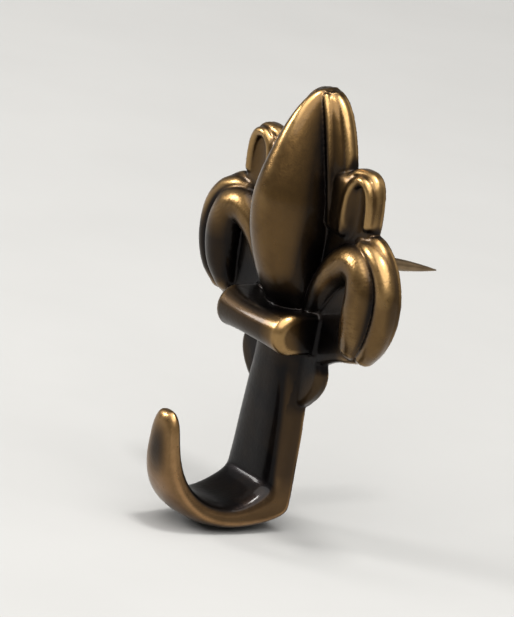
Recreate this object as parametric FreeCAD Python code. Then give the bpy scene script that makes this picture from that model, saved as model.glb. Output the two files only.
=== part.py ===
import FreeCAD, Part
import math, os

# Picture hook of the push-pin kind: a cast fleur-de-lis plate with a J hook
# below it, and a steel pin in its back that is pushed into the wall.
#
# Frame, in millimetres: +X is right seen from the room, +Y goes into the wall,
# +Z is up.  The flat back lies in y = 0.  The origin is where the pin leaves
# the back.  Depths below are measured from the wall towards the room, so a
# depth d is at y = -d.

V = FreeCAD.Vector

# ---------------------------------------------------------------- dimensions
plate_t = 1.05          # thickness of the flat ground behind the leaves
edge_round = 0.50       # rounding of the ground's front edge
edge_low = 0.50         # height of the upright side below that rounding
relief_step = 0.25      # spacing of the front's control points
relief_x, relief_z0, relief_z1 = 12.75, -12.2, 13.9

# outline of the back, right half, from the top of the middle leaf down
out_petal = [(0.0, 12.80), (1.0, 12.62), (1.8, 12.15), (2.5, 11.4), (3.1, 10.4), (3.6, 9.3), (3.95, 8.3), (4.15, 7.65)]
out_bud = [(4.15, 7.65), (4.7, 8.0), (5.5, 8.2), (6.6, 8.17), (7.35, 7.73), (7.75, 6.85), (7.9, 5.7), (7.95, 4.65), (7.9, 3.85)]
out_lobe = [(7.9, 3.85), (8.8, 3.62), (9.8, 3.0), (10.8, 1.9), (11.5, 0.4), (11.75, -1.1), (11.55, -2.6), (11.0, -3.95),
            (10.15, -5.0), (9.1, -5.7), (7.8, -6.15), (6.6, -6.45), (5.6, -6.85), (4.7, -7.35)]
out_waist = [(4.7, -7.35), (4.95, -8.2), (4.85, -9.1), (4.35, -10.0), (3.7, -10.7), (3.2, -11.1)]

# middle leaf: height, half width, depth of its crown
petal = [(-5.6, 1.50, 1.90), (-4.3, 2.10, 2.45), (-2.8, 2.55, 3.40), (-1.2, 2.82, 4.30), (0.6, 2.97, 5.05), (2.4, 3.00, 5.55),
         (4.2, 2.88, 5.72), (6.0, 2.60, 5.45), (7.8, 2.20, 4.90), (9.4, 1.75, 4.32), (10.8, 1.28, 3.62), (11.8, 0.88, 2.90), (12.4, 0.58, 2.20),
         (12.68, 0.38, 1.60), (12.79, 0.18, 0.90)]
petal_n = 2.15          # fullness of its section, 2 being an ellipse

# thinner leaf behind it, the same way
leaf = [(-1.5, 3.2, 1.15), (1.0, 3.7, 1.35), (3.0, 3.95, 1.55), (5.0, 4.0, 1.72), (6.5, 4.0, 1.85), (7.65, 3.95, 1.92), (8.3, 3.78, 1.92), (9.3, 3.42, 1.90),
        (10.4, 2.92, 1.85), (11.4, 2.32, 1.75), (12.15, 1.62, 1.60), (12.62, 0.90, 1.35)]
leaf_n = 2.4

# raised line that runs beside the middle leaf: x, height, depth of the centre, radius
rim = [(0.55, 12.25, 1.42, 0.30), (1.05, 11.5, 1.50, 0.33), (1.50, 10.5, 1.52, 0.34), (1.95, 9.3, 1.52, 0.34), (2.35, 8.0, 1.50, 0.34), (2.75, 6.5, 1.42, 0.34),
       (3.05, 5.0, 1.32, 0.34), (3.25, 3.4, 1.15, 0.34)]

# small upper leaf: the plate that joins it to the middle, the rim round it and
# the dish in its front
web_x, web_z, web_a, web_h, web_d, web_n = 4.10, 5.10, 1.75, 2.45, 1.55, 4.0
bud_rim = [(4.80, 3.3, 1.05, 0.40), (4.85, 4.7, 1.12, 0.40), (4.98, 5.96, 1.18, 0.40), (5.35, 6.98, 1.22, 0.40), (6.05, 7.44, 1.24, 0.40), (6.78, 7.30, 1.22, 0.40),
           (7.20, 6.64, 1.16, 0.40), (7.38, 5.6, 1.08, 0.40), (7.42, 4.4, 0.98, 0.40)]
dish_x, dish_z, dish_a, dish_h = 6.20, 5.15, 1.04, 2.05
dish_d = 0.95           # depth of the dish's floor from the wall

# side leaf: one rib rises from the waist, turns over the top and droops; a
# second one runs outside it: x, height, depth of the centre, radius
rib_in = [(2.7, -3.5, 0.60, 0.95), (3.3, -2.3, 0.80, 1.05), (3.9, -1.1, 0.90, 1.18), (4.7, 0.1, 0.90, 1.34), (5.8, 0.95, 0.90, 1.48), (7.0, 1.22, 0.92, 1.56),
          (8.1, 0.75, 0.96, 1.64), (8.66, -0.4, 0.98, 1.70), (8.72, -1.8, 0.97, 1.69), (8.48, -3.2, 0.88, 1.55), (8.00, -4.5, 0.66, 1.24)]
rib_out = [(7.2, 2.60, 0.60, 0.86), (8.5, 2.48, 0.84, 0.88), (9.80, 1.85, 0.98, 0.86), (10.70, 0.58, 1.04, 0.84), (10.98, -1.0, 1.04, 0.83),
           (10.78, -2.6, 0.98, 0.84), (10.20, -4.0, 0.80, 0.85), (9.25, -5.0, 0.52, 0.82)]

# band round the waist
band_z, band_d, band_r = -5.25, 3.78, 1.28
band_flare = 0.46       # how much thicker it is at its ends
band_half, band_corner = 4.08, 0.70
band_back = 0.30        # how far its ends lie back

# strap and hook in one run of sections, each from a point of the outer side to
# one of the inner side: depth and height of both, half width, where between
# them the section is widest, fullness of its outer and of its inner half
strap_hook = [
    (0.00, -4.60, 2.40, -4.60, 2.45, 0.05, 3.0, 2.7),
    (0.00, -6.60, 2.30, -6.60, 2.60, 0.06, 3.0, 2.7),
    (0.00, -8.60, 2.22, -8.60, 2.72, 0.07, 3.0, 2.7),
    (0.00, -10.40, 2.18, -10.40, 2.95, 0.08, 3.0, 2.7),
    (0.00, -12.20, 2.18, -12.20, 3.12, 0.09, 3.0, 2.7),
    (0.00, -14.00, 2.25, -14.00, 3.20, 0.10, 3.0, 2.7),
    (0.00, -15.80, 2.38, -15.70, 3.22, 0.11, 3.0, 2.8),
    (0.00, -17.40, 2.50, -16.80, 3.24, 0.12, 3.0, 2.9),
    (0.00, -18.70, 2.66, -17.65, 3.25, 0.14, 3.0, 3.1),
    (0.05, -19.60, 2.92, -18.20, 3.25, 0.17, 3.0, 3.4),
    (0.35, -20.05, 3.25, -18.52, 3.24, 0.22, 3.0, 3.8),
    (1.10, -20.48, 3.65, -18.74, 3.22, 0.30, 2.9, 4.0),
    (2.20, -20.82, 4.10, -18.90, 3.18, 0.38, 2.8, 4.2),
    (3.50, -21.02, 4.66, -19.00, 3.12, 0.42, 2.7, 4.2),
    (4.90, -21.08, 5.30, -19.02, 3.02, 0.44, 2.6, 4.2),
    (6.30, -20.92, 6.10, -18.92, 2.88, 0.45, 2.5, 4.1),
    (7.65, -20.50, 6.95, -18.62, 2.68, 0.46, 2.5, 4.0),
    (8.90, -19.75, 7.70, -18.12, 2.44, 0.47, 2.4, 3.8),
    (9.95, -18.65, 8.40, -17.38, 2.20, 0.48, 2.4, 3.5),
    (10.65, -17.35, 8.92, -16.46, 1.97, 0.49, 2.4, 3.2),
    (11.02, -15.95, 9.28, -15.43, 1.76, 0.50, 2.4, 2.9),
    (11.15, -14.60, 9.48, -14.34, 1.56, 0.50, 2.3, 2.7),
    (11.15, -13.45, 9.62, -13.30, 1.38, 0.50, 2.3, 2.5),
    (11.08, -12.80, 9.74, -12.72, 1.21, 0.50, 2.2, 2.3),
    (10.97, -12.38, 9.90, -12.34, 1.00, 0.50, 2.1, 2.1),
    (10.80, -12.12, 10.10, -12.10, 0.72, 0.50, 2.0, 2.0),
    (10.60, -12.00, 10.32, -12.00, 0.34, 0.50, 2.0, 2.0)]

# pin
pin_d = 1.00
pin_out = 12.80         # what stands out of the back
pin_point = 4.6         # length of its tapered point
pin_in = 3.40           # what is held in the casting
pin_root_d = 1.40       # thicker root that is held there
pin_neck = 0.35         # length of the cone from the root to the shank
pin_fall = 8.3          # degrees that the point lies lower than the root
pin_tip_d = 0.10
boss_ring_d = 5.10      # shallow round seat about the pin
boss_ring_t = 0.22


# ------------------------------------------------------------------- helpers
def P(x, d, z):
    return V(x, -d, z)


def spline(points):
    c = Part.BSplineCurve()
    c.interpolate(points)
    return c


def catmull(rows, count):
    """Smooth rows of numbers, evenly spaced in the first pass' length."""
    n = len(rows)
    k = len(rows[0])
    knots = [0.0]
    for i in range(1, n):
        knots.append(knots[-1] + math.sqrt(sum((rows[i][j] - rows[i - 1][j]) ** 2 for j in range(min(3, k)))))
    res = []
    for m in range(count):
        s = knots[-1] * m / (count - 1.0)
        i = 0
        while i < n - 2 and s > knots[i + 1]:
            i += 1
        h = knots[i + 1] - knots[i]
        t = (s - knots[i]) / h

        def slope(q, j):
            a, b = max(q - 1, 0), min(q + 1, n - 1)
            return (rows[b][j] - rows[a][j]) / (knots[b] - knots[a])

        row = []
        for j in range(k):
            p0, p1 = rows[i][j], rows[i + 1][j]
            m0, m1 = slope(i, j) * h, slope(i + 1, j) * h
            row.append((2 * t ** 3 - 3 * t ** 2 + 1) * p0 + (t ** 3 - 2 * t ** 2 + t) * m0 + (-2 * t ** 3 + 3 * t ** 2) * p1 + (t ** 3 - t ** 2) * m1)
        res.append(row)
    return res


def superpoint(a, b, n, t):
    c, s = math.cos(t), math.sin(t)
    return (a * math.copysign(abs(c) ** (2.0 / n), c), b * math.copysign(abs(s) ** (2.0 / n), s))


def run_section(r, count):
    """Points round a section of the strap and hook."""
    do, zo, di, zi, a, m, no, ni = r
    pts = []
    for k in range(count):
        t = 2 * math.pi * k / count
        inner = 2 * k <= count
        x, q = superpoint(a, 1.0, ni if inner else no, t)
        w = m + q * (1 - m) if inner else m + q * m
        pts.append(P(x, do + (di - do) * w, zo + (zi - zo) * w))
    return pts


# ---------------------------------------------------------------- the casting
def outline_wire():
    edges = []
    for run in (out_petal, out_bud, out_lobe, out_waist):
        edges.append(spline([P(x, 0, z) for x, z in run]).toShape())
    low = P(out_waist[-1][0], 0, out_waist[-1][1])
    right = edges
    left = [e.mirror(V(0, 0, 0), V(1, 0, 0)) for e in right]
    close = Part.makeLine(low, P(-out_waist[-1][0], 0, out_waist[-1][1]))
    return Part.Wire(Part.__sortEdges__(right + left + [close]))


def near(rows, x, z):
    """Distance in front view from a line of points, and the depth of the
    centre and the radius there."""
    best = None
    for i in range(len(rows) - 1):
        x0, z0, d0, r0 = rows[i]
        x1, z1, d1, r1 = rows[i + 1]
        ux, uz = x1 - x0, z1 - z0
        t = ((x - x0) * ux + (z - z0) * uz) / (ux * ux + uz * uz)
        t = min(1.0, max(0.0, t))
        q = math.hypot(x - x0 - t * ux, z - z0 - t * uz)
        s = q - (r0 + t * (r1 - r0))
        if best is None or s < best[0]:
            best = (s, q, d0 + t * (d1 - d0), r0 + t * (r1 - r0))
    return best[1:]


def blend_max(a, b, k):
    h = max(k - abs(a - b), 0.0) / k
    return max(a, b) + h * h * k * 0.25


def level(rows, z):
    """Half width and depth at a height, between the rows of a leaf."""
    for i in range(len(rows) - 1):
        if rows[i][0] <= z <= rows[i + 1][0]:
            t = (z - rows[i][0]) / (rows[i + 1][0] - rows[i][0])
            return [rows[i][j] + t * (rows[i + 1][j] - rows[i][j]) for j in (1, 2)]
    return rows[-1][1:]


def bar_top(rows, x, z):
    q, d, r = near(rows, x, z)
    if q < r:
        return d + math.sqrt(r * r - q * q)
    return d - 2.4 * (q - r)


def outline_points():
    pts = []
    for run in (out_petal, out_bud, out_lobe, out_waist):
        c = spline([P(x, 0, z) for x, z in run])
        for i in range(40):
            p = c.value(c.FirstParameter + (c.LastParameter - c.FirstParameter) * i / 40.0)
            pts.append((p.x, p.z))
    pts.append((out_waist[-1][0], out_waist[-1][1]))
    pts.append((0.0, out_waist[-1][1]))
    pts.append((0.0, out_petal[0][1]))
    return pts


def inside_distance(pts, x, z):
    """Distance to the outline, positive inside it."""
    inside = False
    best = 1e9
    n = len(pts)
    for i in range(n):
        x0, z0 = pts[i]
        x1, z1 = pts[(i + 1) % n]
        if (z0 > z) != (z1 > z) and x < x0 + (z - z0) * (x1 - x0) / (z1 - z0):
            inside = not inside
        if i >= n - 3:
            continue            # the middle line and the open foot are no edge
        ux, uz = x1 - x0, z1 - z0
        L = ux * ux + uz * uz
        t = 0.0 if L == 0 else min(1.0, max(0.0, ((x - x0) * ux + (z - z0) * uz) / L))
        best = min(best, math.hypot(x - x0 - t * ux, z - z0 - t * uz))
    return best if inside else -best


def dome_top(rows, n, x, z):
    if not rows[0][0] < z < rows[-1][0]:
        return -9.0
    a, d = level(rows, z)
    q = 1 - (x / a) ** n
    return d * q ** (1 / n) if q > 0 else -4.0 * (x - a)


def relief(x, z, edge):
    """Depth of the front above the back: ground, leaves and band."""
    e = min(1.0, max(0.0, edge / edge_round))
    h = edge_low + (plate_t - edge_low) * math.sqrt(max(0.0, 1 - (1 - e) ** 2))
    h = blend_max(h, bar_top(rib_out_f, x, z), 0.2)
    q = 1 - (abs(x - web_x) / web_a) ** web_n - (abs(z - web_z) / web_h) ** web_n
    if q > 0:
        h = blend_max(h, web_d * q ** (1 / web_n), 0.2)
    h = blend_max(h, bar_top(bud_rim_f, x, z), 0.2)
    q = 1 - (abs(x - dish_x) / dish_a) ** 2.2 - (abs(z - dish_z) / dish_h) ** 2.2
    if q > 0:
        h = -blend_max(-h, -(dish_d + 1.0 - q ** (1 / 2.2)), 0.25)
    h = blend_max(h, dome_top(leaf_f, leaf_n, x, z), 0.1)
    h = blend_max(h, bar_top(rim_f, x, z), 0.12)
    h = blend_max(h, bar_top(rib_in_f, x, z), 0.18)
    h = blend_max(h, dome_top(petal_f, petal_n, x, z), 0.12)
    if x < band_half:
        u = x / band_half
        r = band_r + band_flare * u ** 2.5
        d0 = band_d - band_back * u * u - (r - band_r) * 0.8
        over = max(0.0, x - band_half + band_corner)
        r += math.sqrt(band_corner ** 2 - over ** 2) - band_corner
        q = r ** 2 - (z - band_z) ** 2
        if q > 0:
            h = blend_max(h, d0 + math.sqrt(q), 0.15)
    return h


def relief_surface():
    """One smooth face over the whole front, higher where a leaf rises."""
    step = relief_step
    nx = int(round(2 * relief_x / step))
    nz = int(round((relief_z1 - relief_z0) / step))
    pts = outline_points()

    def places(lo, hi, n):
        knots = [lo + (hi - lo) * i / float(n) for i in range(n + 1)]
        full = [lo] * 3 + knots + [hi] * 3
        return knots, [sum(full[i + 1:i + 4]) / 3.0 for i in range(n + 3)]

    kx, gx = places(-relief_x, relief_x, nx)
    kz, gz = places(relief_z0, relief_z1, nz)
    poles = []
    for x in gx:
        row = []
        for z in gz:
            e = inside_distance(pts, abs(x), z)
            h = relief(abs(x), z, e) if e > -1.3 else edge_low
            if abs(x) > relief_x - 0.7 or z > relief_z1 - 0.6 or z < relief_z0 + 0.4:
                h = edge_low
            row.append(P(x, h, z))
        poles.append(row)
    mx = [4] + [1] * (nx - 1) + [4]
    mz = [4] + [1] * (nz - 1) + [4]
    surf = Part.BSplineSurface()
    surf.buildFromPolesMultsKnots(poles, mx, mz, kx, kz, False, False, 3, 3)
    return surf


petal_f = catmull(petal, 120)
leaf_f = catmull(leaf, 80)
rim_f = [tuple(r) for r in catmull(rim, 24)]
bud_rim_f = [tuple(r) for r in catmull(bud_rim, 28)]
rib_in_f = [tuple(r) for r in catmull(rib_in, 40)]
rib_out_f = [tuple(r) for r in catmull(rib_out, 30)]

front = relief_surface().toShape()
corner = [P(-relief_x, -1.0, relief_z0), P(relief_x, -1.0, relief_z0), P(relief_x, -1.0, relief_z1), P(-relief_x, -1.0, relief_z1)]
top = [P(-relief_x, edge_low, relief_z0), P(relief_x, edge_low, relief_z0), P(relief_x, edge_low, relief_z1), P(-relief_x, edge_low, relief_z1)]
faces = [front, Part.Face(Part.makePolygon(corner + [corner[0]]))]
for i in range(4):
    j = (i + 1) % 4
    faces.append(Part.Face(Part.makePolygon([corner[i], corner[j], top[j], top[i], corner[i]])))
shell = Part.makeShell(faces)
shell.sewShape()
under = Part.Solid(Part.Shell(shell.Faces))
if under.Volume < 0:
    under.reverse()
prism = Part.Face(outline_wire()).extrude(V(0, -7, 0))
slab = prism.common(under)
print("ground", slab.isValid(), len(slab.Solids), round(slab.Volume, 2))

# strap and hook: one smooth skin through its sections, closed at both ends
rows = [[max(0.0, r[0])] + list(r[1:]) for r in catmull([tuple(r) for r in strap_hook], 64)]
around = 36
skin = Part.BSplineSurface()
skin.buildFromPolesMultsKnots([[p for p in run_section(r, around)] for r in rows], [4] + [1] * (len(rows) - 4) + [4], [1] * (around + 1),
                              [float(i) for i in range(len(rows) - 2)], [float(i) for i in range(around + 1)], False, True, 3, 3)
skin_face = skin.toShape()
ends = []
for u in (skin.bounds()[0], skin.bounds()[1]):
    ends.append(Part.Face(Part.Wire([skin.uIso(u).toShape()])))
strap_shell = Part.makeShell([skin_face] + ends)
strap_shell.sewShape()
strap_solid = Part.Solid(Part.Shell(strap_shell.Faces))
if strap_solid.Volume < 0:
    strap_solid.reverse()
print("strap", strap_solid.isValid(), round(strap_solid.Volume, 2), strap_solid.BoundBox)

body = slab.fuse(strap_solid)

# seat round the pin, and the blind hole that holds it
fall = math.radians(pin_fall)
axis = V(0, math.cos(fall), -math.sin(fall))
body = body.cut(Part.makeCylinder(boss_ring_d / 2, boss_ring_t, V(0, -boss_ring_t, 0), V(0, 1, 0)))
root_point = axis * (-pin_in)
body = body.cut(Part.makeCylinder(pin_root_d / 2, pin_in + 3.0, root_point, axis))

body = body.removeSplitter()
print("body", body.isValid(), len(body.Solids), round(body.Volume, 2), body.BoundBox)

# ------------------------------------------------------------------- the pin
shank = Part.makeCylinder(pin_d / 2, pin_out - pin_point, V(0, 0, 0), axis)
root = Part.makeCylinder(pin_root_d / 2, pin_in - pin_neck, root_point, axis)
neck = Part.makeCone(pin_root_d / 2, pin_d / 2, pin_neck, axis * (-pin_neck), axis)
start = axis * (pin_out - pin_point)
rings = []
for i in range(7):
    u = i / 6.0
    r = pin_d / 2 + (pin_tip_d / 2 - pin_d / 2) * (0.35 * u + 0.65 * u * u)
    rings.append(Part.Wire([Part.Circle(start + axis * (pin_point * u), axis, r).toShape()]))
point = Part.makeLoft(rings, True, False)
pin = root.fuse([neck, shank, point])
pin = pin.removeSplitter()
print("pin", pin.isValid(), len(pin.Solids), round(pin.Volume, 3), pin.BoundBox)

os.makedirs("parts", exist_ok=True)
for name, shape in (("hanger_body", body), ("push_pin", pin)):
    solid = shape.Solids[0] if len(shape.Solids) == 1 else shape
    solid.exportStep("parts/%s.step" % name)
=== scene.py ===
import bpy
import math
import time
import numpy as np
from mathutils import Vector, Matrix


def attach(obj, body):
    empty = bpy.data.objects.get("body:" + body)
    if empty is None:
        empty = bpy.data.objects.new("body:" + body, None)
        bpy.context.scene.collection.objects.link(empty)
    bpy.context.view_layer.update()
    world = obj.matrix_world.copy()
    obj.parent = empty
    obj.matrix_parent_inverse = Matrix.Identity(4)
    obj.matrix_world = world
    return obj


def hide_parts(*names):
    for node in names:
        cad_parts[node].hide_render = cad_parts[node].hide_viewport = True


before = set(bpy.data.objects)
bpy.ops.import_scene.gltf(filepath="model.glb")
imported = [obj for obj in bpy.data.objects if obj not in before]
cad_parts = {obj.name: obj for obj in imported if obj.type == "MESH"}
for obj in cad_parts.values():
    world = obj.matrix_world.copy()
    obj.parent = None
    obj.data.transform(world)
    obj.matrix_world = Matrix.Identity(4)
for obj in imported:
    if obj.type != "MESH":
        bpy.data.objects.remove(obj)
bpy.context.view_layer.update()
clock = time.time()

# ------------------------------------------------------------------ geometry
# Millimetres.  x is right, d is the depth from the wall towards the room
# (y = -d), z is up.  The part is symmetric, so tables give the right half.

plate_t, edge_round, back_round = 1.05, 0.50, 0.14

outline = [
    [(0.0, 12.80), (1.0, 12.62), (1.8, 12.15), (2.5, 11.4), (3.1, 10.4), (3.6, 9.3), (3.95, 8.3), (4.15, 7.65)],
    [(4.15, 7.65), (4.7, 8.0), (5.5, 8.2), (6.6, 8.17), (7.35, 7.73), (7.75, 6.85), (7.9, 5.7), (7.95, 4.65), (7.9, 3.85)],
    [(7.9, 3.85), (8.8, 3.62), (9.8, 3.0), (10.8, 1.9), (11.5, 0.4), (11.75, -1.1), (11.55, -2.6), (11.0, -3.95),
     (10.15, -5.0), (9.1, -5.7), (7.8, -6.15), (6.6, -6.45), (5.6, -6.85), (4.7, -7.35)],
    [(4.7, -7.35), (4.95, -8.2), (4.85, -9.1), (4.35, -10.0), (3.7, -10.7), (3.2, -11.1)]]

petal = [(-5.6, 1.50, 1.90), (-4.3, 2.10, 2.45), (-2.8, 2.55, 3.40), (-1.2, 2.82, 4.30), (0.6, 2.97, 5.05), (2.4, 3.00, 5.55),
         (4.2, 2.88, 5.72), (6.0, 2.60, 5.45), (7.8, 2.20, 4.90), (9.4, 1.75, 4.32), (10.8, 1.28, 3.62), (11.8, 0.88, 2.90), (12.4, 0.58, 2.20),
         (12.68, 0.38, 1.60), (12.79, 0.18, 0.90)]
petal_n = 2.15

leaf = [(-1.5, 3.2, 1.15), (1.0, 3.7, 1.35), (3.0, 3.95, 1.55), (5.0, 4.0, 1.72), (6.5, 4.0, 1.85), (7.65, 3.95, 1.92), (8.3, 3.78, 1.92), (9.3, 3.42, 1.90),
        (10.4, 2.92, 1.85), (11.4, 2.32, 1.75), (12.15, 1.62, 1.60), (12.62, 0.90, 1.35)]
leaf_n = 2.4
rim = [(0.55, 12.25, 1.42, 0.30), (1.05, 11.5, 1.50, 0.33), (1.50, 10.5, 1.52, 0.34), (1.95, 9.3, 1.52, 0.34), (2.35, 8.0, 1.50, 0.34), (2.75, 6.5, 1.42, 0.34),
       (3.05, 5.0, 1.32, 0.34), (3.25, 3.4, 1.15, 0.34)]
web_x, web_z, web_a, web_h, web_d = 4.10, 5.10, 1.75, 2.45, 1.55
bud_rim = [(4.80, 3.3, 1.05, 0.40), (4.85, 4.7, 1.12, 0.40), (4.98, 5.96, 1.18, 0.40), (5.35, 6.98, 1.22, 0.40), (6.05, 7.44, 1.24, 0.40), (6.78, 7.30, 1.22, 0.40),
           (7.20, 6.64, 1.16, 0.40), (7.38, 5.6, 1.08, 0.40), (7.42, 4.4, 0.98, 0.40)]
dish_x, dish_z, dish_a, dish_h, dish_d = 6.20, 5.15, 1.04, 2.05, 0.95
rib_in = [(2.7, -3.5, 0.60, 0.95), (3.3, -2.3, 0.80, 1.05), (3.9, -1.1, 0.90, 1.18), (4.7, 0.0, 0.90, 1.34), (5.7, 0.82, 0.90, 1.46), (7.0, 1.32, 0.92, 1.54),
          (8.18, 0.95, 0.96, 1.62), (8.72, -0.3, 0.98, 1.69), (8.72, -1.8, 0.97, 1.69), (8.48, -3.2, 0.88, 1.55), (8.00, -4.5, 0.66, 1.24)]
rib_out = [(7.2, 2.60, 0.60, 0.86), (8.5, 2.48, 0.84, 0.88), (9.80, 1.85, 0.98, 0.86), (10.70, 0.58, 1.04, 0.84), (10.98, -1.0, 1.04, 0.83),
           (10.78, -2.6, 0.98, 0.84), (10.20, -4.0, 0.80, 0.85), (9.25, -5.0, 0.52, 0.82)]
band_z, band_d, band_r, band_flare = -5.25, 3.78, 1.28, 0.46
band_half, band_corner, band_back = 4.08, 0.70, 0.30

strap_hook = [
    (0.00, -4.60, 2.40, -4.60, 2.45, 0.05, 3.0, 2.7),
    (0.00, -6.60, 2.30, -6.60, 2.60, 0.06, 3.0, 2.7),
    (0.00, -8.60, 2.22, -8.60, 2.72, 0.07, 3.0, 2.7),
    (0.00, -10.40, 2.18, -10.40, 2.95, 0.08, 3.0, 2.8),
    (0.00, -12.20, 2.18, -12.20, 3.12, 0.09, 3.0, 2.9),
    (0.00, -14.00, 2.20, -13.95, 3.20, 0.10, 3.0, 3.1),
    (0.00, -15.80, 2.22, -15.55, 3.22, 0.11, 3.0, 3.4),
    (0.00, -17.40, 2.24, -16.60, 3.24, 0.12, 3.0, 3.8),
    (0.00, -18.70, 2.28, -17.22, 3.25, 0.14, 3.0, 4.0),
    (0.05, -19.60, 2.48, -17.62, 3.25, 0.17, 3.0, 4.2),
    (0.35, -20.05, 2.88, -17.96, 3.24, 0.22, 3.0, 4.2),
    (1.10, -20.48, 3.38, -18.28, 3.22, 0.30, 2.9, 4.2),
    (2.20, -20.82, 3.94, -18.58, 3.18, 0.38, 2.8, 4.2),
    (3.50, -21.02, 4.60, -18.84, 3.12, 0.42, 2.7, 4.2),
    (4.90, -21.08, 5.32, -18.99, 3.02, 0.44, 2.6, 4.2),
    (6.30, -20.92, 6.14, -18.94, 2.88, 0.45, 2.5, 4.1),
    (7.65, -20.50, 7.05, -18.68, 2.68, 0.46, 2.5, 4.0),
    (8.90, -19.75, 7.86, -18.22, 2.44, 0.47, 2.4, 3.8),
    (9.95, -18.65, 8.62, -17.49, 2.20, 0.48, 2.4, 3.5),
    (10.65, -17.35, 9.18, -16.54, 1.97, 0.49, 2.4, 3.2),
    (11.02, -15.95, 9.54, -15.48, 1.76, 0.50, 2.4, 2.9),
    (11.15, -14.60, 9.74, -14.36, 1.56, 0.50, 2.3, 2.7),
    (11.15, -13.45, 9.86, -13.31, 1.38, 0.50, 2.3, 2.5),
    (11.08, -12.80, 9.95, -12.73, 1.21, 0.50, 2.2, 2.3),
    (10.97, -12.38, 10.07, -12.35, 1.00, 0.50, 2.1, 2.1),
    (10.80, -12.12, 10.22, -12.10, 0.72, 0.50, 2.0, 2.0),
    (10.60, -12.00, 10.38, -12.00, 0.34, 0.50, 2.0, 2.0)]

pin_d, pin_out, pin_point, pin_in, pin_fall, pin_tip_d = 1.00, 12.80, 4.6, 3.40, 8.3, 0.10
pin_root_d, pin_neck = 1.40, 0.35
boss_ring_d, boss_ring_t = 5.10, 0.22


def catmull(rows, count):
    rows = np.array(rows, float)
    n = len(rows)
    step = np.sqrt(((rows[1:, :3] - rows[:-1, :3]) ** 2).sum(1))
    knots = np.concatenate([[0.0], np.cumsum(step)])
    s = np.linspace(0, knots[-1], count)
    i = np.clip(np.searchsorted(knots, s, side="right") - 1, 0, n - 2)
    h = knots[i + 1] - knots[i]
    t = ((s - knots[i]) / h)[:, None]
    slope = np.empty_like(rows)
    for q in range(n):
        a, b = max(q - 1, 0), min(q + 1, n - 1)
        slope[q] = (rows[b] - rows[a]) / (knots[b] - knots[a])
    m0, m1 = slope[i] * h[:, None], slope[i + 1] * h[:, None]
    return ((2 * t ** 3 - 3 * t ** 2 + 1) * rows[i] + (t ** 3 - 2 * t ** 2 + t) * m0
            + (-2 * t ** 3 + 3 * t ** 2) * rows[i + 1] + (t ** 3 - t ** 2) * m1)


def smin(a, b, k):
    h = np.maximum(k - np.abs(a - b), 0.0) / k
    return np.minimum(a, b) - h * h * k * 0.25


def smax(a, b, k):
    return -smin(-a, -b, k)


FAR = 1.6


def within(x, d, z, lo, hi, fn):
    """fn only where it matters; elsewhere a plain far value."""
    m = ((x > lo[0] - FAR) & (x < hi[0] + FAR) & (d > lo[1] - FAR) & (d < hi[1] + FAR) & (z > lo[2] - FAR) & (z < hi[2] + FAR))
    out = np.full(x.shape, FAR)
    if m.any():
        out[m] = fn(x[m], d[m], z[m])
    return out


class Grid2:
    """Values on a fine plane grid, read back smoothly."""

    def __init__(self, u0, u1, v0, v1, step, fn):
        self.u0, self.v0, self.step = u0, v0, step
        u = np.arange(u0, u1 + step, step)
        v = np.arange(v0, v1 + step, step)
        self.nu, self.nv = len(u), len(v)
        U, Vv = np.meshgrid(u, v, indexing="ij")
        self.values = [a.reshape(U.shape) for a in fn(U.ravel(), Vv.ravel())]

    def read(self, u, v):
        a = np.clip((u - self.u0) / self.step, 0, self.nu - 1.001)
        b = np.clip((v - self.v0) / self.step, 0, self.nv - 1.001)
        i, j = a.astype(int), b.astype(int)
        a, b = a - i, b - j
        res = []
        for g in self.values:
            res.append((g[i, j] * (1 - a) + g[i + 1, j] * a) * (1 - b) + (g[i, j + 1] * (1 - a) + g[i + 1, j + 1] * a) * b)
        return res


def outline_field(u, v):
    pts = []
    for run in outline:
        rows = catmull([(x, z, 0.0) for x, z in run], 48)[:, :2]
        pts += [tuple(p) for p in (rows if not pts else rows[1:])]
    edges = list(zip(pts[:-1], pts[1:]))
    closing = [(pts[-1], (0.0, pts[-1][1])), ((0.0, pts[-1][1]), pts[0])]
    best = np.full(u.shape, 1e9)
    inside = np.zeros(u.shape, bool)
    for n, ((x0, z0), (x1, z1)) in enumerate(edges + closing):
        cross = (z0 > v) != (z1 > v)
        if abs(z1 - z0) > 1e-12:
            inside ^= cross & (u < x0 + (v - z0) * (x1 - x0) / (z1 - z0))
        if n < len(edges) + 1:
            ux, uz = x1 - x0, z1 - z0
            L = ux * ux + uz * uz
            t = np.clip(((u - x0) * ux + (v - z0) * uz) / max(L, 1e-12), 0, 1)
            best = np.minimum(best, np.hypot(u - x0 - t * ux, v - z0 - t * uz))
    return [np.where(inside, -best, best)]


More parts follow.
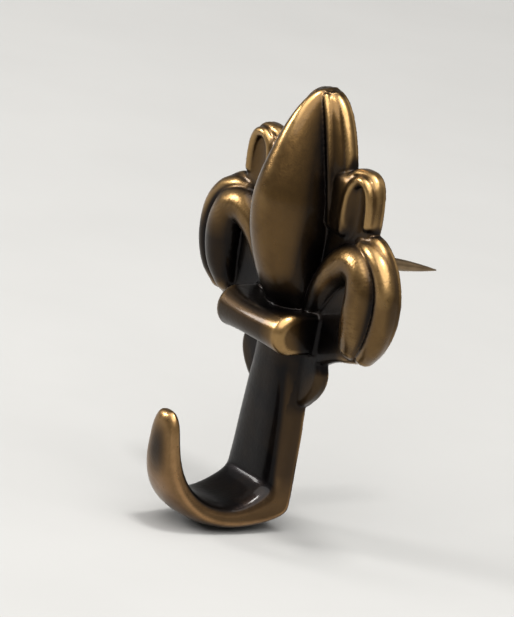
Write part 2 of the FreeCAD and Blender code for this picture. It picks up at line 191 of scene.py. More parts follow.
def hook_map(u, v):
    """For each point of the side view: the section through it."""
    rows = catmull(strap_hook, 220)
    O, I = rows[:, 0:2], rows[:, 2:4]
    best = np.full(u.shape, 1e9)
    found = np.zeros((8, len(u)))
    found[0] = 3.0          # outside
    P = np.stack([u, v], 1)
    W = I - O
    side = W[:, 0:1] * (v[None] - O[:, 1:2]) - W[:, 1:2] * (u[None] - O[:, 0:1])
    for i in range(len(rows) - 1):
        g0, g1 = side[i], side[i + 1]
        m = (g0 * g1) <= 0
        if not m.any():
            continue
        idx = np.nonzero(m)[0]
        a = g0[idx] / np.where(np.abs(g0[idx] - g1[idx]) < 1e-9, 1e-9, g0[idx] - g1[idx])
        a = np.clip(a, 0, 1)[:, None]
        row = rows[i][None] * (1 - a) + rows[i + 1][None] * a
        o, w = row[:, 0:2], row[:, 2:4] - row[:, 0:2]
        T = np.hypot(w[:, 0], w[:, 1])
        t = ((P[idx] - o) * w).sum(1) / T ** 2
        score = np.maximum(np.maximum(-t, t - 1), 0) * T
        ok = score < np.minimum(best[idx], 1.2)
        k = idx[ok]
        best[k] = score[ok]
        found[0, k] = t[ok]
        found[1, k] = T[ok]
        for c, col in enumerate((4, 5, 6, 7)):
            found[2 + c, k] = row[ok, col]
        found[6, k] = 1.0
    return [found[j] for j in range(7)]


edge_grid = Grid2(-1.0, 14.0, -13.5, 14.5, 0.05, outline_field)


def hook_section(u, v):
    t, T, a, m, no, ni, ok = hook_map(u, v)
    return t, T, a, m, no, ni, ok


petal_rows = catmull(petal, 240)
leaf_rows = catmull(leaf, 200)
tubes = {}
for name, rows, count in (("rim", rim, 48), ("bud_rim", bud_rim, 48), ("rib_in", rib_in, 72), ("rib_out", rib_out, 56)):
    r = catmull(rows, count)
    tubes[name] = r[:, [0, 2, 1, 3]]          # x, d, z, radius


def tube(name):
    rows = tubes[name]
    lo = (rows[:, :3] - rows[:, 3:4]).min(0)
    hi = (rows[:, :3] + rows[:, 3:4]).max(0)

    def fn(x, d, z):
        best = np.full(x.shape, 1e9)
        for i in range(len(rows) - 1):
            a, b = rows[i], rows[i + 1]
            w = b[:3] - a[:3]
            L = float((w * w).sum())
            t = np.clip(((x - a[0]) * w[0] + (d - a[1]) * w[1] + (z - a[2]) * w[2]) / L, 0, 1)
            q = np.sqrt((x - a[0] - t * w[0]) ** 2 + (d - a[1] - t * w[1]) ** 2 + (z - a[2] - t * w[2]) ** 2) - (a[3] + t * (b[3] - a[3]))
            np.minimum(best, q, out=best)
        return best
    return lambda x, d, z: within(x, d, z, lo, hi, fn)


tube_fn = {n: tube(n) for n in tubes}


def f_ground(x, d, z):
    e = edge_grid.read(x, z)[0]
    half = plate_t / 2
    r = np.where(d > half, edge_round, back_round)
    qx, qd = e + r, np.abs(d - half) - half + r
    return np.minimum(np.maximum(qx, qd), 0) + np.hypot(np.maximum(qx, 0), np.maximum(qd, 0)) - r


def dome(rows, n):
    """A leaf's bulge: its sections are half superellipses."""
    def fn(x, d, z):
        a = np.interp(z, rows[:, 0], rows[:, 1])
        D = np.interp(z, rows[:, 0], rows[:, 2])
        u, w = np.abs(x) / a + 1e-9, np.maximum(d, 0) / D + 1e-9
        norm = (u ** n + w ** n) ** (1 / n)
        grad = norm ** (1 - n) * np.hypot(u ** (n - 1) / a, w ** (n - 1) / D)
        f = (norm - 1) / np.maximum(grad, 1e-3)
        return np.maximum(f, np.maximum(z - rows[-1, 0], rows[0, 0] - z))
    return lambda x, d, z: within(x, d, z, (0, 0, rows[0, 0]), (rows[:, 1].max(), rows[:, 2].max(), rows[-1, 0]), fn)


f_petal = dome(petal_rows, petal_n)
f_leaf = dome(leaf_rows, leaf_n)


def lump(cx, cd, cz, a, b, c, n):
    def fn(x, d, z):
        u, w, q = np.abs(x - cx) / a + 1e-9, np.abs(d - cd) / b + 1e-9, np.abs(z - cz) / c + 1e-9
        norm = (u ** n + w ** n + q ** n) ** (1 / n)
        grad = norm ** (1 - n) * np.sqrt((u ** (n - 1) / a) ** 2 + (w ** (n - 1) / b) ** 2 + (q ** (n - 1) / c) ** 2)
        return (norm - 1) / np.maximum(grad, 1e-3)
    return lambda x, d, z: within(x, d, z, (cx - a, cd - b, cz - c), (cx + a, cd + b, cz + c), fn)


f_web = lump(web_x, 0.0, web_z, web_a, web_d, web_h, 4.0)
f_dish = lump(dish_x, dish_d + 1.0, dish_z, dish_a, 1.0, dish_h, 2.2)


def f_band(x, d, z):
    """A half-round bar with flared ends, cast down to the ground."""
    def fn(x, d, z):
        ax = np.abs(x)
        u = np.minimum(ax / band_half, 1.15)
        r = band_r + band_flare * u ** 2.5
        d0 = band_d - band_back * u * u - (r - band_r) * 0.8
        rho = np.hypot(z - band_z, np.maximum(d - d0, 0)) - r
        e = ax - band_half
        qx, qr = e + band_corner, rho + band_corner
        return np.minimum(np.maximum(qx, qr), 0) + np.hypot(np.maximum(qx, 0), np.maximum(qr, 0)) - band_corner
    return within(x, d, z, (0, 0, band_z - 2.0), (band_half + 0.1, band_d + 2.0, band_z + 2.0), fn)


def f_hook(x, d, z):
    def fn(x, d, z):
        t, T, a, m, no, ni, ok = hook_section(d, z)
        good = ok > 0.5
        T = np.where(good, T, 1.0)
        a = np.where(good, a, 1.0)
        m = np.where(good, m, 0.5)
        inner = t > m
        n = np.where(inner, ni, no)
        n = np.where(good, n, 2.0)
        span = np.where(inner, 1 - m, m) * T
        q = np.abs(t - m) * T / span + 1e-9
        u = np.abs(x) / a + 1e-9
        norm = (u ** n + q ** n) ** (1 / n)
        grad = norm ** (1 - n) * np.hypot(u ** (n - 1) / a, q ** (n - 1) / span)
        f = (norm - 1) / np.maximum(grad, 0.15)
        return np.where(good, f, 1.2)
    return within(x, d, z, (0, 0, -21.1), (3.3, 11.2, -4.6), fn)


fall = math.radians(pin_fall)
pin_axis = np.array([0.0, -math.cos(fall), -math.sin(fall)])      # x, d, z


# faint marks of the die on the back: runs of x, z, then width and depth; and pits
back_lines = [([(-9.1, 2.1), (-9.35, 0.4), (-9.2, -1.8), (-8.7, -3.9)], 0.22, 0.070), ([(-2.3, 5.0), (-2.55, 7.0), (-2.2, 9.0)], 0.20, 0.060),
              ([(2.6, 4.9), (2.75, 6.8), (2.35, 8.8)], 0.20, 0.060), ([(-1.9, 9.9), (-0.8, 10.4), (0.8, 10.45), (1.8, 10.0)], 0.20, 0.065),
              ([(9.0, 1.6), (9.2, -0.6), (8.9, -2.9)], 0.20, 0.055), ([(-1.6, -8.2), (-1.5, -12.0), (-1.55, -15.6)], 0.18, 0.045)]
back_pits = [(-0.6, -3.4, 0.42, 0.13), (2.0, -5.5, 0.34, 0.11), (-7.2, -1.3, 0.38, 0.12), (6.4, 5.2, 0.30, 0.09), (4.9, -2.4, 0.26, 0.08), (0.9, -11.6, 0.28, 0.08)]


def back_marks(x, z):
    cut = np.zeros(len(x))
    for run, w, deep in back_lines:
        for (x0, z0), (x1, z1) in zip(run[:-1], run[1:]):
            ux, uz = x1 - x0, z1 - z0
            t = np.clip(((x - x0) * ux + (z - z0) * uz) / (ux * ux + uz * uz), 0, 1)
            q = np.hypot(x - x0 - t * ux, z - z0 - t * uz) / w
            cut = np.maximum(cut, deep * np.clip(1 - q * q, 0, 1))
    for cx, cz, r, deep in back_pits:
        q = np.hypot(x - cx, z - cz) / r
        cut = np.maximum(cut, deep * np.clip(1 - q * q, 0, 1))
    return cut


def field(p):
    x, d, z = np.abs(p[:, 0]), p[:, 1], p[:, 2]
    f = f_ground(x, d, z)
    f = smin(f, tube_fn["rib_out"](x, d, z), 0.22)
    f = smin(f, f_web(x, d, z), 0.25)
    f = smin(f, tube_fn["bud_rim"](x, d, z), 0.25)
    f = smax(f, -f_dish(x, d, z), 0.30)
    f = smin(f, f_leaf(x, d, z), 0.10)
    f = smin(f, tube_fn["rim"](x, d, z), 0.14)
    f = smin(f, tube_fn["rib_in"](x, d, z), 0.14)
    f = smin(f, f_petal(x, d, z), 0.12)
    f = smin(f, f_hook(x, d, z), 0.30)
    f = smin(f, f_band(x, d, z), 0.16 + 0.30 * np.clip((1.9 - d) / 1.0, 0, 1))
    marks = np.zeros(len(d))
    near = d < 0.6
    if near.any():
        marks[near] = back_marks(p[near, 0], z[near])
    f = smax(f, marks - d, 0.06)
    # seat round the pin, and the hole that holds it
    rho = np.hypot(x, z)
    f = smax(f, -smax(rho - boss_ring_d / 2, d - boss_ring_t, 0.06), 0.08)
    s = d * pin_axis[1] + z * pin_axis[2]
    q = np.sqrt(np.maximum(x * x + d * d + z * z - s * s, 0)) - (pin_root_d / 2 + 0.02)
    f = smax(f, -np.maximum(q, -pin_in - s), 0.04)
    return f


# ------------------------------------------------------------------- meshing
STEP = 0.15


def sample():
    lo = np.array([-12.3, -0.6, -21.75])
    hi = np.array([12.3, 11.75, 13.35])
    block = 5
    n = np.ceil((hi - lo) / (STEP * block)).astype(int) * block + 1
    # a grid that is symmetric in x
    half = int(math.ceil(-lo[0] / STEP / block)) * block
    xs = np.arange(0, half + 1) * STEP
    ds = lo[1] + np.arange(n[1]) * STEP
    zs = lo[2] + np.arange(n[2]) * STEP
    F = np.full((len(xs), len(ds), len(zs)), 1.0, np.float32)
    bx, bd, bz = (len(xs) - 1) // block, (len(ds) - 1) // block, (len(zs) - 1) // block
    c = STEP * block
    cx, cd, cz = np.meshgrid(xs[0] + (np.arange(bx) + 0.5) * c, ds[0] + (np.arange(bd) + 0.5) * c, zs[0] + (np.arange(bz) + 0.5) * c, indexing="ij")
    centre = np.stack([cx.ravel(), cd.ravel(), cz.ravel()], 1)
    v = field(centre)
    near = np.abs(v) < c * 1.35
    sign = np.where(v < 0, -1.0, 1.0)
    ids = np.stack(np.unravel_index(np.arange(len(v)), (bx, bd, bz)), 1)
    for (i, j, k), s in zip(ids[~near], sign[~near]):
        F[i * block:(i + 1) * block + 1, j * block:(j + 1) * block + 1, k * block:(k + 1) * block + 1] = s
    mask = np.zeros(F.shape, bool)
    for i, j, k in ids[near]:
        mask[i * block:(i + 1) * block + 1, j * block:(j + 1) * block + 1, k * block:(k + 1) * block + 1] = True
    idx = np.nonzero(mask)
    pts = np.stack([xs[idx[0]], ds[idx[1]], zs[idx[2]]], 1)
    out = np.empty(len(pts), np.float32)
    for a in range(0, len(pts), 200000):
        out[a:a + 200000] = field(pts[a:a + 200000])
    F[idx] = out
    print("sampled", len(pts), "of", F.size, round(time.time() - clock, 1), "s")
    F = np.concatenate([F[:0:-1], F], 0)
    xs = np.concatenate([-xs[:0:-1], xs])
    return F, np.array([xs[0], ds[0], zs[0]])


def nets(F, origin):
    s = F < 0
    count = np.zeros(tuple(k - 1 for k in F.shape), np.int8)
    for a in (0, 1):
        for b in (0, 1):
            for c in (0, 1):
                count += s[a:F.shape[0] - 1 + a, b:F.shape[1] - 1 + b, c:F.shape[2] - 1 + c]
    active = (count > 0) & (count < 8)
    cell = np.full(active.shape, -1, np.int32)
    cells = np.stack(np.nonzero(active), 1)
    cell[active] = np.arange(len(cells))
    pos = np.zeros((len(cells), 3))
    hits = np.zeros(len(cells))
    i, j, k = cells.T
    corners = [(0, 0, 0), (1, 0, 0), (0, 1, 0), (1, 1, 0), (0, 0, 1), (1, 0, 1), (0, 1, 1), (1, 1, 1)]
    for a in range(8):
        for b in range(a + 1, 8):
            ca, cb = corners[a], corners[b]
            if sum(abs(ca[q] - cb[q]) for q in range(3)) != 1:
                continue
            fa = F[i + ca[0], j + ca[1], k + ca[2]]
            fb = F[i + cb[0], j + cb[1], k + cb[2]]
            m = (fa < 0) != (fb < 0)
            t = (fa[m] / (fa[m] - fb[m]))[:, None]
            pos[m] += np.array(ca) * (1 - t) + np.array(cb) * t
            hits[m] += 1
    pos = origin + (cells + pos / hits[:, None]) * STEP
    quads = []
    for axis in range(3):
        sl = [slice(None)] * 3
        sh = [slice(None)] * 3
        sl[axis], sh[axis] = slice(0, -1), slice(1, None)
        A, B = s[tuple(sl)], s[tuple(sh)]
        e = np.stack(np.nonzero(A != B), 1)
        o1, o2 = [q for q in range(3) if q != axis]
        e = e[(e[:, o1] > 0) & (e[:, o2] > 0) & (e[:, o1] < cell.shape[o1]) & (e[:, o2] < cell.shape[o2])]
        c = []
        for da, db in ((-1, -1), (0, -1), (0, 0), (-1, 0)):
            q = e.copy()
            q[:, o1] += da
            q[:, o2] += db
            c.append(cell[q[:, 0], q[:, 1], q[:, 2]])
        quad = np.stack(c, 1)
        inside_first = A[e[:, 0], e[:, 1], e[:, 2]]
        flip = inside_first if axis != 1 else ~inside_first
        quad[flip] = quad[flip][:, ::-1]
        quads.append(quad)
    return pos, np.concatenate(quads)


def gradient(p, eps):
    g = np.empty_like(p)
    for a in range(3):
        q = np.zeros(3)
        q[a] = eps
        g[:, a] = (field(p + q) - field(p - q)) / (2 * eps)
    return g


def settle(p, rounds=2):
    for _ in range(rounds):
        f = field(p)
        g = gradient(p, 0.03)
        step = f[:, None] * g / np.maximum((g * g).sum(1), 0.25)[:, None]
        L = np.linalg.norm(step, axis=1)
        step *= np.minimum(1, 0.08 / np.maximum(L, 1e-9))[:, None]
        p = p - step
    return p


def relax(p, quads, amount=0.5):
    total = np.zeros_like(p)
    num = np.zeros(len(p))
    for a in range(4):
        u, v = quads[:, a], quads[:, (a + 1) % 4]
        for q in range(3):
            total[:, q] += np.bincount(u, p[v, q], len(p)) + np.bincount(v, p[u, q], len(p))
        num += np.bincount(u, minlength=len(p)) + np.bincount(v, minlength=len(p))
    return p + amount * (total / num[:, None] - p)


F, origin = sample()
verts, quads = nets(F, origin)
print("net", len(verts), len(quads), round(time.time() - clock, 1), "s")
verts = settle(verts, 1)
verts = settle(relax(verts, quads), 2)
print("settled", round(time.time() - clock, 1), "s")

normal = gradient(verts, 0.04)
normal /= np.maximum(np.linalg.norm(normal, axis=1), 1e-9)[:, None]

# how convex each point is, and how deep it lies among its surroundings
delta = 0.32
bend = -6 * field(verts)
for a in range(3):
    for s in (-1, 1):
        q = np.zeros(3)
        q[a] = s * delta
        bend += field(verts + q)
bend = bend / delta ** 2
hollow = np.zeros(len(verts))
for t, w in ((0.5, 0.30), (1.0, 0.30), (1.8, 0.25), (3.0, 0.15)):
    hollow += w * np.clip((t - np.minimum(field(verts + normal * t), FAR if t > FAR else t)) / t, 0, 1)


def box_blur(v, r):
    for axis in range(3):
        pad = [(0, 0)] * 3
        pad[axis] = (r + 1, r)
        c = np.cumsum(np.pad(v, pad, mode="edge"), axis=axis, dtype=np.float32)
        hi = [slice(None)] * 3
        lo = [slice(None)] * 3
        hi[axis], lo[axis] = slice(2 * r + 1, None), slice(0, -2 * r - 1)
        v = (c[tuple(hi)] - c[tuple(lo)]) / (2 * r + 1)
    return v


def crowd(radius, reach):
    """How much metal stands round a point a little way off the surface."""
    r = max(1, int(round(radius / STEP)))
    v = (F < 0).astype(np.float32)
    for _ in range(3):
        v = box_blur(v, r)
    at = (verts + normal * reach - origin) / STEP
    at = np.clip(at, 0, np.array(F.shape) - 1.001)
    i = at.astype(int)
    f = at - i
    res = np.zeros(len(at))
    for a in (0, 1):
        for b in (0, 1):
            for c in (0, 1):
                w = (f[:, 0] if a else 1 - f[:, 0]) * (f[:, 1] if b else 1 - f[:, 1]) * (f[:, 2] if c else 1 - f[:, 2])
                res += w * v[i[:, 0] + a, i[:, 1] + b, i[:, 2] + c]
    return res


wide = crowd(1.2, 1.5)
hook_t = hook_map(verts[:, 1], verts[:, 2])
# painted shade on the strap's front, the saddle and the hook's inner faces, and a lighter painted shade on the strap's
# sides
shade = np.clip((hook_t[0] - 0.62) / 0.22, 0, 1) * (hook_t[6] > 0.5) * np.clip((-7.0 - verts[:, 2]) / 1.5, 0, 1)
side = (hook_t[6] > 0.5) * np.clip((hook_t[0] - 0.05) / 0.2, 0, 1) * np.clip((-7.0 - verts[:, 2]) / 1.5, 0, 1) * np.clip((verts[:, 2] + 18.6) / 2.0, 0, 1) * (verts[:, 1] < 3.5)
shade = np.maximum(shade, 0.62 * side)
shade *= 1 - np.clip((verts[:, 1] - 8.6) / 0.8, 0, 1) * np.clip((verts[:, 2] + 15.5) / 2.5, 0, 1)
shade *= np.abs(verts[:, 0]) < np.maximum(hook_t[2] * 1.03, 0.1)
wide = np.where(normal[:, 1] < -0.5, 0.08, wide)
# darkening of crowded places and hollows: partly the patina the casting holds there, partly painted shade
part_a = np.clip((wide - 0.085) / 0.085, 0, 1)
part_b = np.clip((hollow - 0.16) / 0.26, 0, 1)
# painted shade on the leaves at the waist, under the band and side lobes
waist_shade = np.clip((-6.6 - verts[:, 2]) / 0.8, 0, 1) * np.clip((verts[:, 2] + 12.0) / 1.0, 0, 1) * (np.abs(verts[:, 0]) > 2.6) * (normal[:, 1] > -0.5)



def ramp01(v, lo, hi):
    return np.clip((v - lo) / (hi - lo), 0, 1)


vx, vd, vz = verts.T
# painted shade in the recess beside the band, and a painted dark reflection on one side leaf
recess_shade = ramp01(np.abs(vx), 3.3, 4.0) * ramp01(-np.abs(vx), -7.6, -6.4) * ramp01(vz, -8.2, -7.6) * ramp01(-vz, 1.2, 3.0) * ramp01(-vd, -3.0, -2.2) * (normal[:, 1] > -0.5)
left_leaf_dark_reflection = ramp01(-vx, 5.0, 7.2) * ramp01(vz, -6.0, -4.4) * ramp01(-vz, -0.6, 1.6) * (normal[:, 1] > -0.5)
# patina in the hollows, joined with the painted shade and painted dark reflection masks above and below
patina_and_painted_shade = 1 - (1 - 0.80 * part_a) * (1 - 0.80 * part_b) * (1 - 0.97 * shade) * (1 - 0.72 * waist_shade) * (1 - 0.90 * recess_shade) * (1 - 0.86 * left_leaf_dark_reflection)
# painted shade: the band is darker along its middle than at its right end
band_shade = ramp01(vd, 2.2, 3.2) * ramp01(-vx, -3.1, -1.9) * ramp01(-np.abs(vz - band_z), -2.0, -1.7) * ramp01(-vd, -6.4, -5.8)
patina_and_painted_shade = 1 - (1 - patina_and_painted_shade) * (1 - 0.74 * band_shade * (1 - 0.75 * ramp01(-vx, 3.3, 3.9)))
# the left bud's dish keeps little of the painted shade, so the lamp's highlight shows there
dish_unshaded = ramp01(-vx, 4.8, 5.3) * ramp01(vx, -7.6, -7.2) * ramp01(vz, 3.2, 3.8) * (normal[:, 1] > 0.2)
patina_and_painted_shade *= 1 - 0.75 * dish_unshaded
outer = ramp01(vx, 9.4, 10.3) * ramp01(-vz, -0.6, 0.8)
rear = ramp01(-normal[:, 1], 0.5, 0.9) * ramp01(-vd, -0.5, -0.3)
patina_and_painted_shade = np.maximum(patina_and_painted_shade, 0.62 * rear)
rubbed = 0.50 * (hook_t[6] > 0.5) * ramp01(vd, 5.0, 8.0) * ramp01(-hook_t[0], -0.55, -0.30)
wear = np.maximum(np.clip((bend - 0.40) / 1.25, 0, 1) * (1 - 0.75 * outer), rubbed) * (1 - patina_and_painted_shade)
print("finish data", round(time.time() - clock, 1), "s", "bend", np.percentile(bend, [1, 25, 50, 75, 99]).round(2), "hollow", np.percentile(hollow, [1, 25, 50, 75, 99]).round(2))


def to_world(p):
    return np.stack([p[:, 0], -p[:, 1], p[:, 2]], 1) * 0.001


def mesh_object(name, p, faces, normals=None):
    me = bpy.data.meshes.new(name)
    me.vertices.add(len(p))
    me.vertices.foreach_set("co", p.astype(np.float32).ravel())
    me.loops.add(faces.size)
    me.loops.foreach_set("vertex_index", faces.astype(np.int32).ravel())
    me.polygons.add(len(faces))
    me.polygons.foreach_set("loop_start", np.arange(0, faces.size, faces.shape[1], dtype=np.int32))
    me.polygons.foreach_set("loop_total", np.full(len(faces), faces.shape[1], np.int32))
    me.polygons.foreach_set("use_smooth", np.ones(len(faces), bool))
    me.update(calc_edges=True)
    me.validate()
    if normals is not None:
        me.normals_split_custom_set_from_vertices(normals.astype(np.float32))
    o = bpy.data.objects.new(name, me)
    bpy.context.scene.collection.objects.link(o)
    return o


world = to_world(verts)
v0, v1, v2 = world[quads[:, 0]], world[quads[:, 1]], world[quads[:, 2]]
v3 = world[quads[:, 3]]
volume = ((v0 * np.cross(v1, v2)).sum(1) + (v0 * np.cross(v2, v3)).sum(1)).sum() / 6
if volume < 0:
    quads = quads[:, ::-1]
print("volume", round(abs(volume) * 1e9, 1), "mm3")
body = mesh_object("hanger_casting", world, quads, to_world(normal) * 1000)
for name, values in (("wear", wear), ("patina_and_painted_shade", patina_and_painted_shade), ("back", ramp01(-normal[:, 1], 0.5, 0.9) * ramp01(-vd, -0.5, -0.3))):
    at = body.data.attributes.new(name, "FLOAT", "POINT")
    at.data.foreach_set("value", values.astype(np.float32))

# ------------------------------------------------------------------- the pin
profile = []
for at, r in ((-pin_in + 0.02, 0.60), (-pin_in + 0.12, 0.70), (-2.2, 0.70), (-1.2, 0.70), (-pin_neck - 0.04, 0.70), (-pin_neck + 0.02, 0.675), (-0.03, 0.515), (0.03, 0.5)):
    profile.append((at, r))
for at in np.linspace(0.4, pin_out - pin_point, 16):
    profile.append((at, pin_d / 2))
for u in np.linspace(0, 1, 22)[1:]:
    profile.append((pin_out - pin_point + pin_point * u, pin_d / 2 + (pin_tip_d / 2 - pin_d / 2) * (0.35 * u + 0.65 * u * u)))
ax = np.array([0.0, math.cos(fall), -math.sin(fall)])
side1 = np.array([1.0, 0, 0])
side2 = np.cross(ax, side1)
around = 40
pts, faces = [], []
for s, r in profile:
    for k in range(around):
        t = 2 * math.pi * k / around
        pts.append(ax * s + (side1 * math.cos(t) + side2 * math.sin(t)) * r)
for i in range(len(profile) - 1):
    for k in range(around):
        a, b = i * around + k, i * around + (k + 1) % around
        faces.append((a, b, b + around, a + around))
pin_pts = np.array(pts) * 0.001
import bmesh
bm = bmesh.new()
bv = [bm.verts.new(p) for p in pin_pts]
for f in faces:
    bm.faces.new([bv[i] for i in f])
bm.faces.new([bv[k] for k in range(around)][::-1])
bm.faces.new([bv[(len(profile) - 1) * around + k] for k in range(around)])
bmesh.ops.recalc_face_normals(bm, faces=bm.faces)
for f in bm.faces:
    f.smooth = len(f.verts) == 4
pin_mesh = bpy.data.meshes.new("steel_pin")
bm.to_mesh(pin_mesh)
bm.free()
pin = bpy.data.objects.new("steel_pin", pin_mesh)
bpy.context.scene.collection.objects.link(pin)


# ----------------------------------------------------------------- materials
def node(tree, kind, **values):
    n = tree.nodes.new(kind)
    for k, v in values.items():
        if k in n.inputs:
            n.inputs[k].default_value = v
        else:
            setattr(n, k, v)
    return n


def math_node(tree, op, a, b=None, c=None, clamp=False):
    n = tree.nodes.new("ShaderNodeMath")
    n.operation = op
    n.use_clamp = clamp
    for i, v in enumerate((a, b, c)):
        if v is None:
            continue
        if isinstance(v, (int, float)):
            n.inputs[i].default_value = v
        else:
            tree.links.new(v, n.inputs[i])
    return n.outputs[0]


def ramp(tree, src, stops):
    n = tree.nodes.new("ShaderNodeValToRGB")
    e = n.color_ramp.elements
    while len(e) < len(stops):
        e.new(0.5)
    for el, (p, c) in zip(e, stops):
        el.position = p
        el.color = c if len(c) == 4 else (*c, 1)
    tree.links.new(src, n.inputs[0])
    return n.outputs[0]


def noise(tree, coord, scale, detail=3.0, rough=0.5, stretch=None):
    if stretch is not None:
        mp = tree.nodes.new("ShaderNodeMapping")
        mp.inputs["Scale"].default_value = stretch
        tree.links.new(coord, mp.inputs["Vector"])
        coord = mp.outputs["Vector"]
    n = tree.nodes.new("ShaderNodeTexNoise")
    n.inputs["Scale"].default_value = scale
    n.inputs["Detail"].default_value = detail
    n.inputs["Roughness"].default_value = rough
    tree.links.new(coord, n.inputs["Vector"])
    return n.outputs["Fac"]


def mix_color(tree, fac, a, b):
    n = tree.nodes.new("ShaderNodeMix")
    n.data_type = "RGBA"
    for v, name in ((fac, 0), (a, 6), (b, 7)):
        if isinstance(v, (int, float)):
            n.inputs[name].default_value = v
        elif isinstance(v, tuple):
            n.inputs[name].default_value = (*v, 1)
        else:
            tree.links.new(v, n.inputs[name])
    return n.outputs[2]


def brass_material():
    m = bpy.data.materials.new("antique_brass")
    m.use_nodes = True
    t = m.node_tree
    t.nodes.clear()
    out = t.nodes.new("ShaderNodeOutputMaterial")
    b = t.nodes.new("ShaderNodeBsdfPrincipled")
    t.links.new(b.outputs[0], out.inputs[0])
    geo = t.nodes.new("ShaderNodeTexCoord").outputs["Object"]
    wear_at = node(t, "ShaderNodeAttribute", attribute_name="wear").outputs["Fac"]
    patina_and_painted_shade_at = node(t, "ShaderNodeAttribute", attribute_name="patina_and_painted_shade").outputs["Fac"]
    mottle = noise(t, geo, 380, 4, 0.6)
    fine = noise(t, geo, 1800, 3, 0.6)
    grain = noise(t, geo, 5200, 2, 0.5)
    sep = t.nodes.new("ShaderNodeSeparateXYZ")
    t.links.new(geo, sep.inputs[0])
    # rubbed high places, broken up by the mottle
    edge = math_node(t, "ADD", math_node(t, "MULTIPLY", wear_at, 1.15), math_node(t, "MULTIPLY_ADD", mottle, 1.0, -0.52))
    edge = math_node(t, "MULTIPLY", math_node(t, "MAXIMUM", edge, 0.0), math_node(t, "MINIMUM", math_node(t, "MULTIPLY_ADD", wear_at, 3.0, 0.12), 1.0), clamp=True)
    dark = mix_color(t, mottle, (0.062, 0.035, 0.0120), (0.135, 0.076, 0.0265))
    bright = mix_color(t, fine, (0.205, 0.121, 0.044), (0.36, 0.226, 0.092))
    copper = mix_color(t, fine, (0.235, 0.128, 0.052), (0.40, 0.232, 0.105))
    low = ramp(t, math_node(t, "MULTIPLY_ADD", sep.outputs[2], -120.0, -1.1), [(0.0, (0, 0, 0)), (1.0, (1, 1, 1))])
    bright = mix_color(t, low, bright, copper)
    dark = mix_color(t, math_node(t, "MULTIPLY", low, 0.6), dark, (0.105, 0.060, 0.027))
    base = mix_color(t, edge, dark, bright)
    # the base is darkened towards near black by the patina and painted shade
    veil = math_node(t, "ADD", patina_and_painted_shade_at, math_node(t, "MULTIPLY_ADD", mottle, 0.30, -0.15), clamp=True)
    base = mix_color(t, math_node(t, "MULTIPLY", veil, 0.985), base, (0.0035, 0.0033, 0.0042))
    t.links.new(base, b.inputs["Base Color"])
    b.inputs["Metallic"].default_value = 1.0
    rough = math_node(t, "MULTIPLY_ADD", fine, 0.16, 0.22)
    rough = math_node(t, "ADD", rough, math_node(t, "MULTIPLY", patina_and_painted_shade_at, 0.12))
    t.links.new(rough, b.inputs["Roughness"])
    b.inputs["Coat Weight"].default_value = 0.18
    b.inputs["Coat Roughness"].default_value = 0.12
    bump = node(t, "ShaderNodeBump", Strength=0.35, Distance=0.00005)
    h = math_node(t, "ADD", math_node(t, "MULTIPLY", fine, 1.0), math_node(t, "MULTIPLY", grain, 0.35))
    # the back keeps the grain of the die
    back_at = node(t, "ShaderNodeAttribute", attribute_name="back").outputs["Fac"]
    cast = noise(t, geo, 2600, 4, 0.7)
    h = math_node(t, "MULTIPLY_ADD", math_node(t, "MULTIPLY", back_at, cast), 4.0, h)
    t.links.new(h, bump.inputs["Height"])
    t.links.new(bump.outputs[0], b.inputs["Normal"])
    return m


def pin_material():
    m = bpy.data.materials.new("bronzed_steel")
    m.use_nodes = True
    t = m.node_tree
    t.nodes.clear()
    out = t.nodes.new("ShaderNodeOutputMaterial")
    b = t.nodes.new("ShaderNodeBsdfPrincipled")
    t.links.new(b.outputs[0], out.inputs[0])
    geo = t.nodes.new("ShaderNodeTexCoord").outputs["Object"]
    drawn = noise(t, geo, 900, 3, 0.6, (4.0, 0.25, 4.0))
    spot = noise(t, geo, 700, 3, 0.6)
    col = mix_color(t, spot, (0.10, 0.065, 0.035), (0.30, 0.215, 0.125))
    t.links.new(col, b.inputs["Base Color"])
    b.inputs["Metallic"].default_value = 1.0
    t.links.new(math_node(t, "MULTIPLY_ADD", drawn, 0.25, 0.22), b.inputs["Roughness"])
    bump = node(t, "ShaderNodeBump", Strength=0.3, Distance=0.00003)
    t.links.new(drawn, bump.inputs["Height"])
    t.links.new(bump.outputs[0], b.inputs["Normal"])
    return m


brass = brass_material()
steel = pin_material()
body.data.materials.append(brass)
pin.data.materials.append(steel)

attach(body, "root")
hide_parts("hanger_body")
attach(pin, "root")
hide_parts("push_pin")

# ------------------------------------------------------------------ the stage
floor_z = -0.0212


def stage_floor():
    """Pale floor that sweeps up far behind, with no corner to see."""
    bm = bmesh.new()
    prof = [(-0.70, 0.0)]
    prof += [(0.55, 0.0)]
    for k in range(1, 17):
        t = math.pi / 2 * k / 16
        prof.append((0.55 + 0.45 * math.sin(t), 0.45 * (1 - math.cos(t))))
    prof.append((1.0, 1.8))
    rows = []
    for u, h in prof:
        rows.append([bm.verts.new((x, u, floor_z + h)) for x in (-1.0, 1.0)])
    for a, c in zip(rows[:-1], rows[1:]):
        bm.faces.new((a[0], a[1], c[1], c[0]))
    me = bpy.data.meshes.new("floor")
    bm.to_mesh(me)
    bm.free()
    for f in me.polygons:
        f.use_smooth = True
    o = bpy.data.objects.new("floor", me)
    bpy.context.scene.collection.objects.link(o)
    m = bpy.data.materials.new("pale_floor")
    m.use_nodes = True
    t = m.node_tree
    b = t.nodes["Principled BSDF"]
    geo = t.nodes.new("ShaderNodeTexCoord").outputs["Object"]
    c = mix_color(t, noise(t, geo, 60, 3, 0.5), (0.250, 0.250, 0.248), (0.272, 0.272, 0.270))
    t.links.new(c, b.inputs["Base Color"])
    b.inputs["Roughness"].default_value = 0.85
    b.inputs["Specular IOR Level"].default_value = 0.2
    me.materials.append(m)
    o.rotation_euler = (0, 0, math.radians(51.1))
    return o


stage_floor()

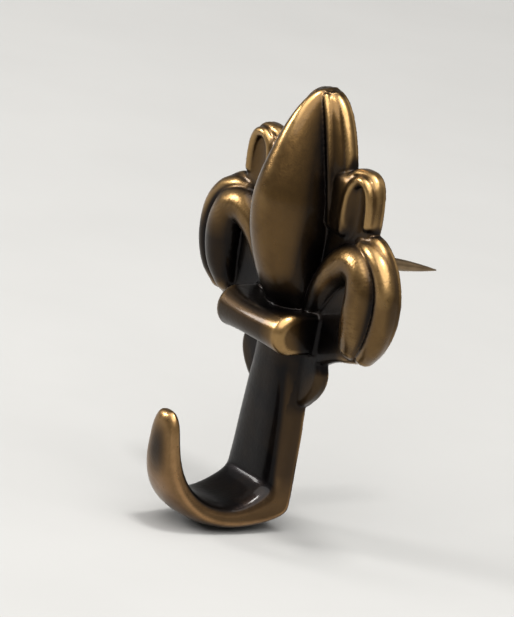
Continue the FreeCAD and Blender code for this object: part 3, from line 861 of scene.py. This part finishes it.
az, el, roll = math.radians(51.1), math.radians(15.95), math.radians(10.0)
to_cam = Vector((math.sin(az) * math.cos(el), -math.cos(az) * math.cos(el), math.sin(el)))


def lamp(name, place, target, size, power, color=(1, 1, 1), size_y=None):
    d = bpy.data.lights.new(name, "AREA")
    d.shape = "RECTANGLE" if size_y else "DISK"
    d.size = size
    if size_y:
        d.size_y = size_y
    d.energy = power
    d.color = color
    o = bpy.data.objects.new(name, d)
    o.location = place
    o.rotation_euler = (Vector(target) - Vector(place)).to_track_quat("-Z", "Y").to_euler()
    bpy.context.scene.collection.objects.link(o)
    return o


right = Vector((math.cos(az), math.sin(az), 0))
up = Vector((0, 0, 1))
aim = Vector((0, -0.003, -0.004))
flat = Vector((math.sin(az), -math.cos(az), 0))
lamp("overhead", aim + flat * 0.21 + up * 0.50, aim, 0.90, 8.2, (1.0, 0.985, 0.955))
lamp("key", aim + right * 0.04 + flat * 0.10 + up * 0.60, aim, 0.12, 3.4, (1.0, 0.985, 0.95))
lamp("left", aim + Vector((-0.675, -0.605, 0.423)) * 0.5, aim, 0.10, 1.9, (1.0, 0.985, 0.96), size_y=0.17)

w = bpy.data.worlds.new("studio")
w.use_nodes = True
wt = w.node_tree
bg = wt.nodes["Background"]
look = wt.nodes.new("ShaderNodeTexCoord").outputs["Generated"]
high = wt.nodes.new("ShaderNodeSeparateXYZ")
wt.links.new(look, high.inputs[0])
sky = ramp(wt, math_node(wt, "MULTIPLY_ADD", high.outputs[2], 0.5, 0.5),
           [(0.0, (0.26, 0.25, 0.24)), (0.46, (0.30, 0.29, 0.275)), (0.54, (0.42, 0.41, 0.39)), (0.70, (0.80, 0.78, 0.75)), (1.0, (1.0, 0.98, 0.95))])
wt.links.new(sky, bg.inputs[0])
bg.inputs[1].default_value = 0.70
bpy.context.scene.world = w

# ----------------------------------------------------------------- the camera
cam_data = bpy.data.cameras.new("camera")
cam = bpy.data.objects.new("camera", cam_data)
bpy.context.scene.collection.objects.link(cam)
cam_data.sensor_fit = "VERTICAL"
cam_data.sensor_height = 36.0
cam_data.lens = 300.0
R = Vector((math.cos(az), math.sin(az), 0))
U = Vector((-math.sin(el) * math.sin(az), math.sin(el) * math.cos(az), math.cos(el)))
R2 = R * math.cos(roll) + U * math.sin(roll)
U2 = -R * math.sin(roll) + U * math.cos(roll)
rot = Matrix((R2, U2, to_cam)).transposed()
height_mm = 46.0
dist = height_mm * 0.001 / (36.0 / 300.0)
centre = Vector((-0.0002, -0.0038, -0.0044))
cam.matrix_world = Matrix.Translation(centre + to_cam * dist) @ rot.to_4x4()
cam_data.clip_start = 0.01
cam_data.clip_end = 20
bpy.context.scene.camera = cam
bpy.context.scene.view_settings.view_transform = "Standard"

print("made in", round(time.time() - clock, 1), "s")
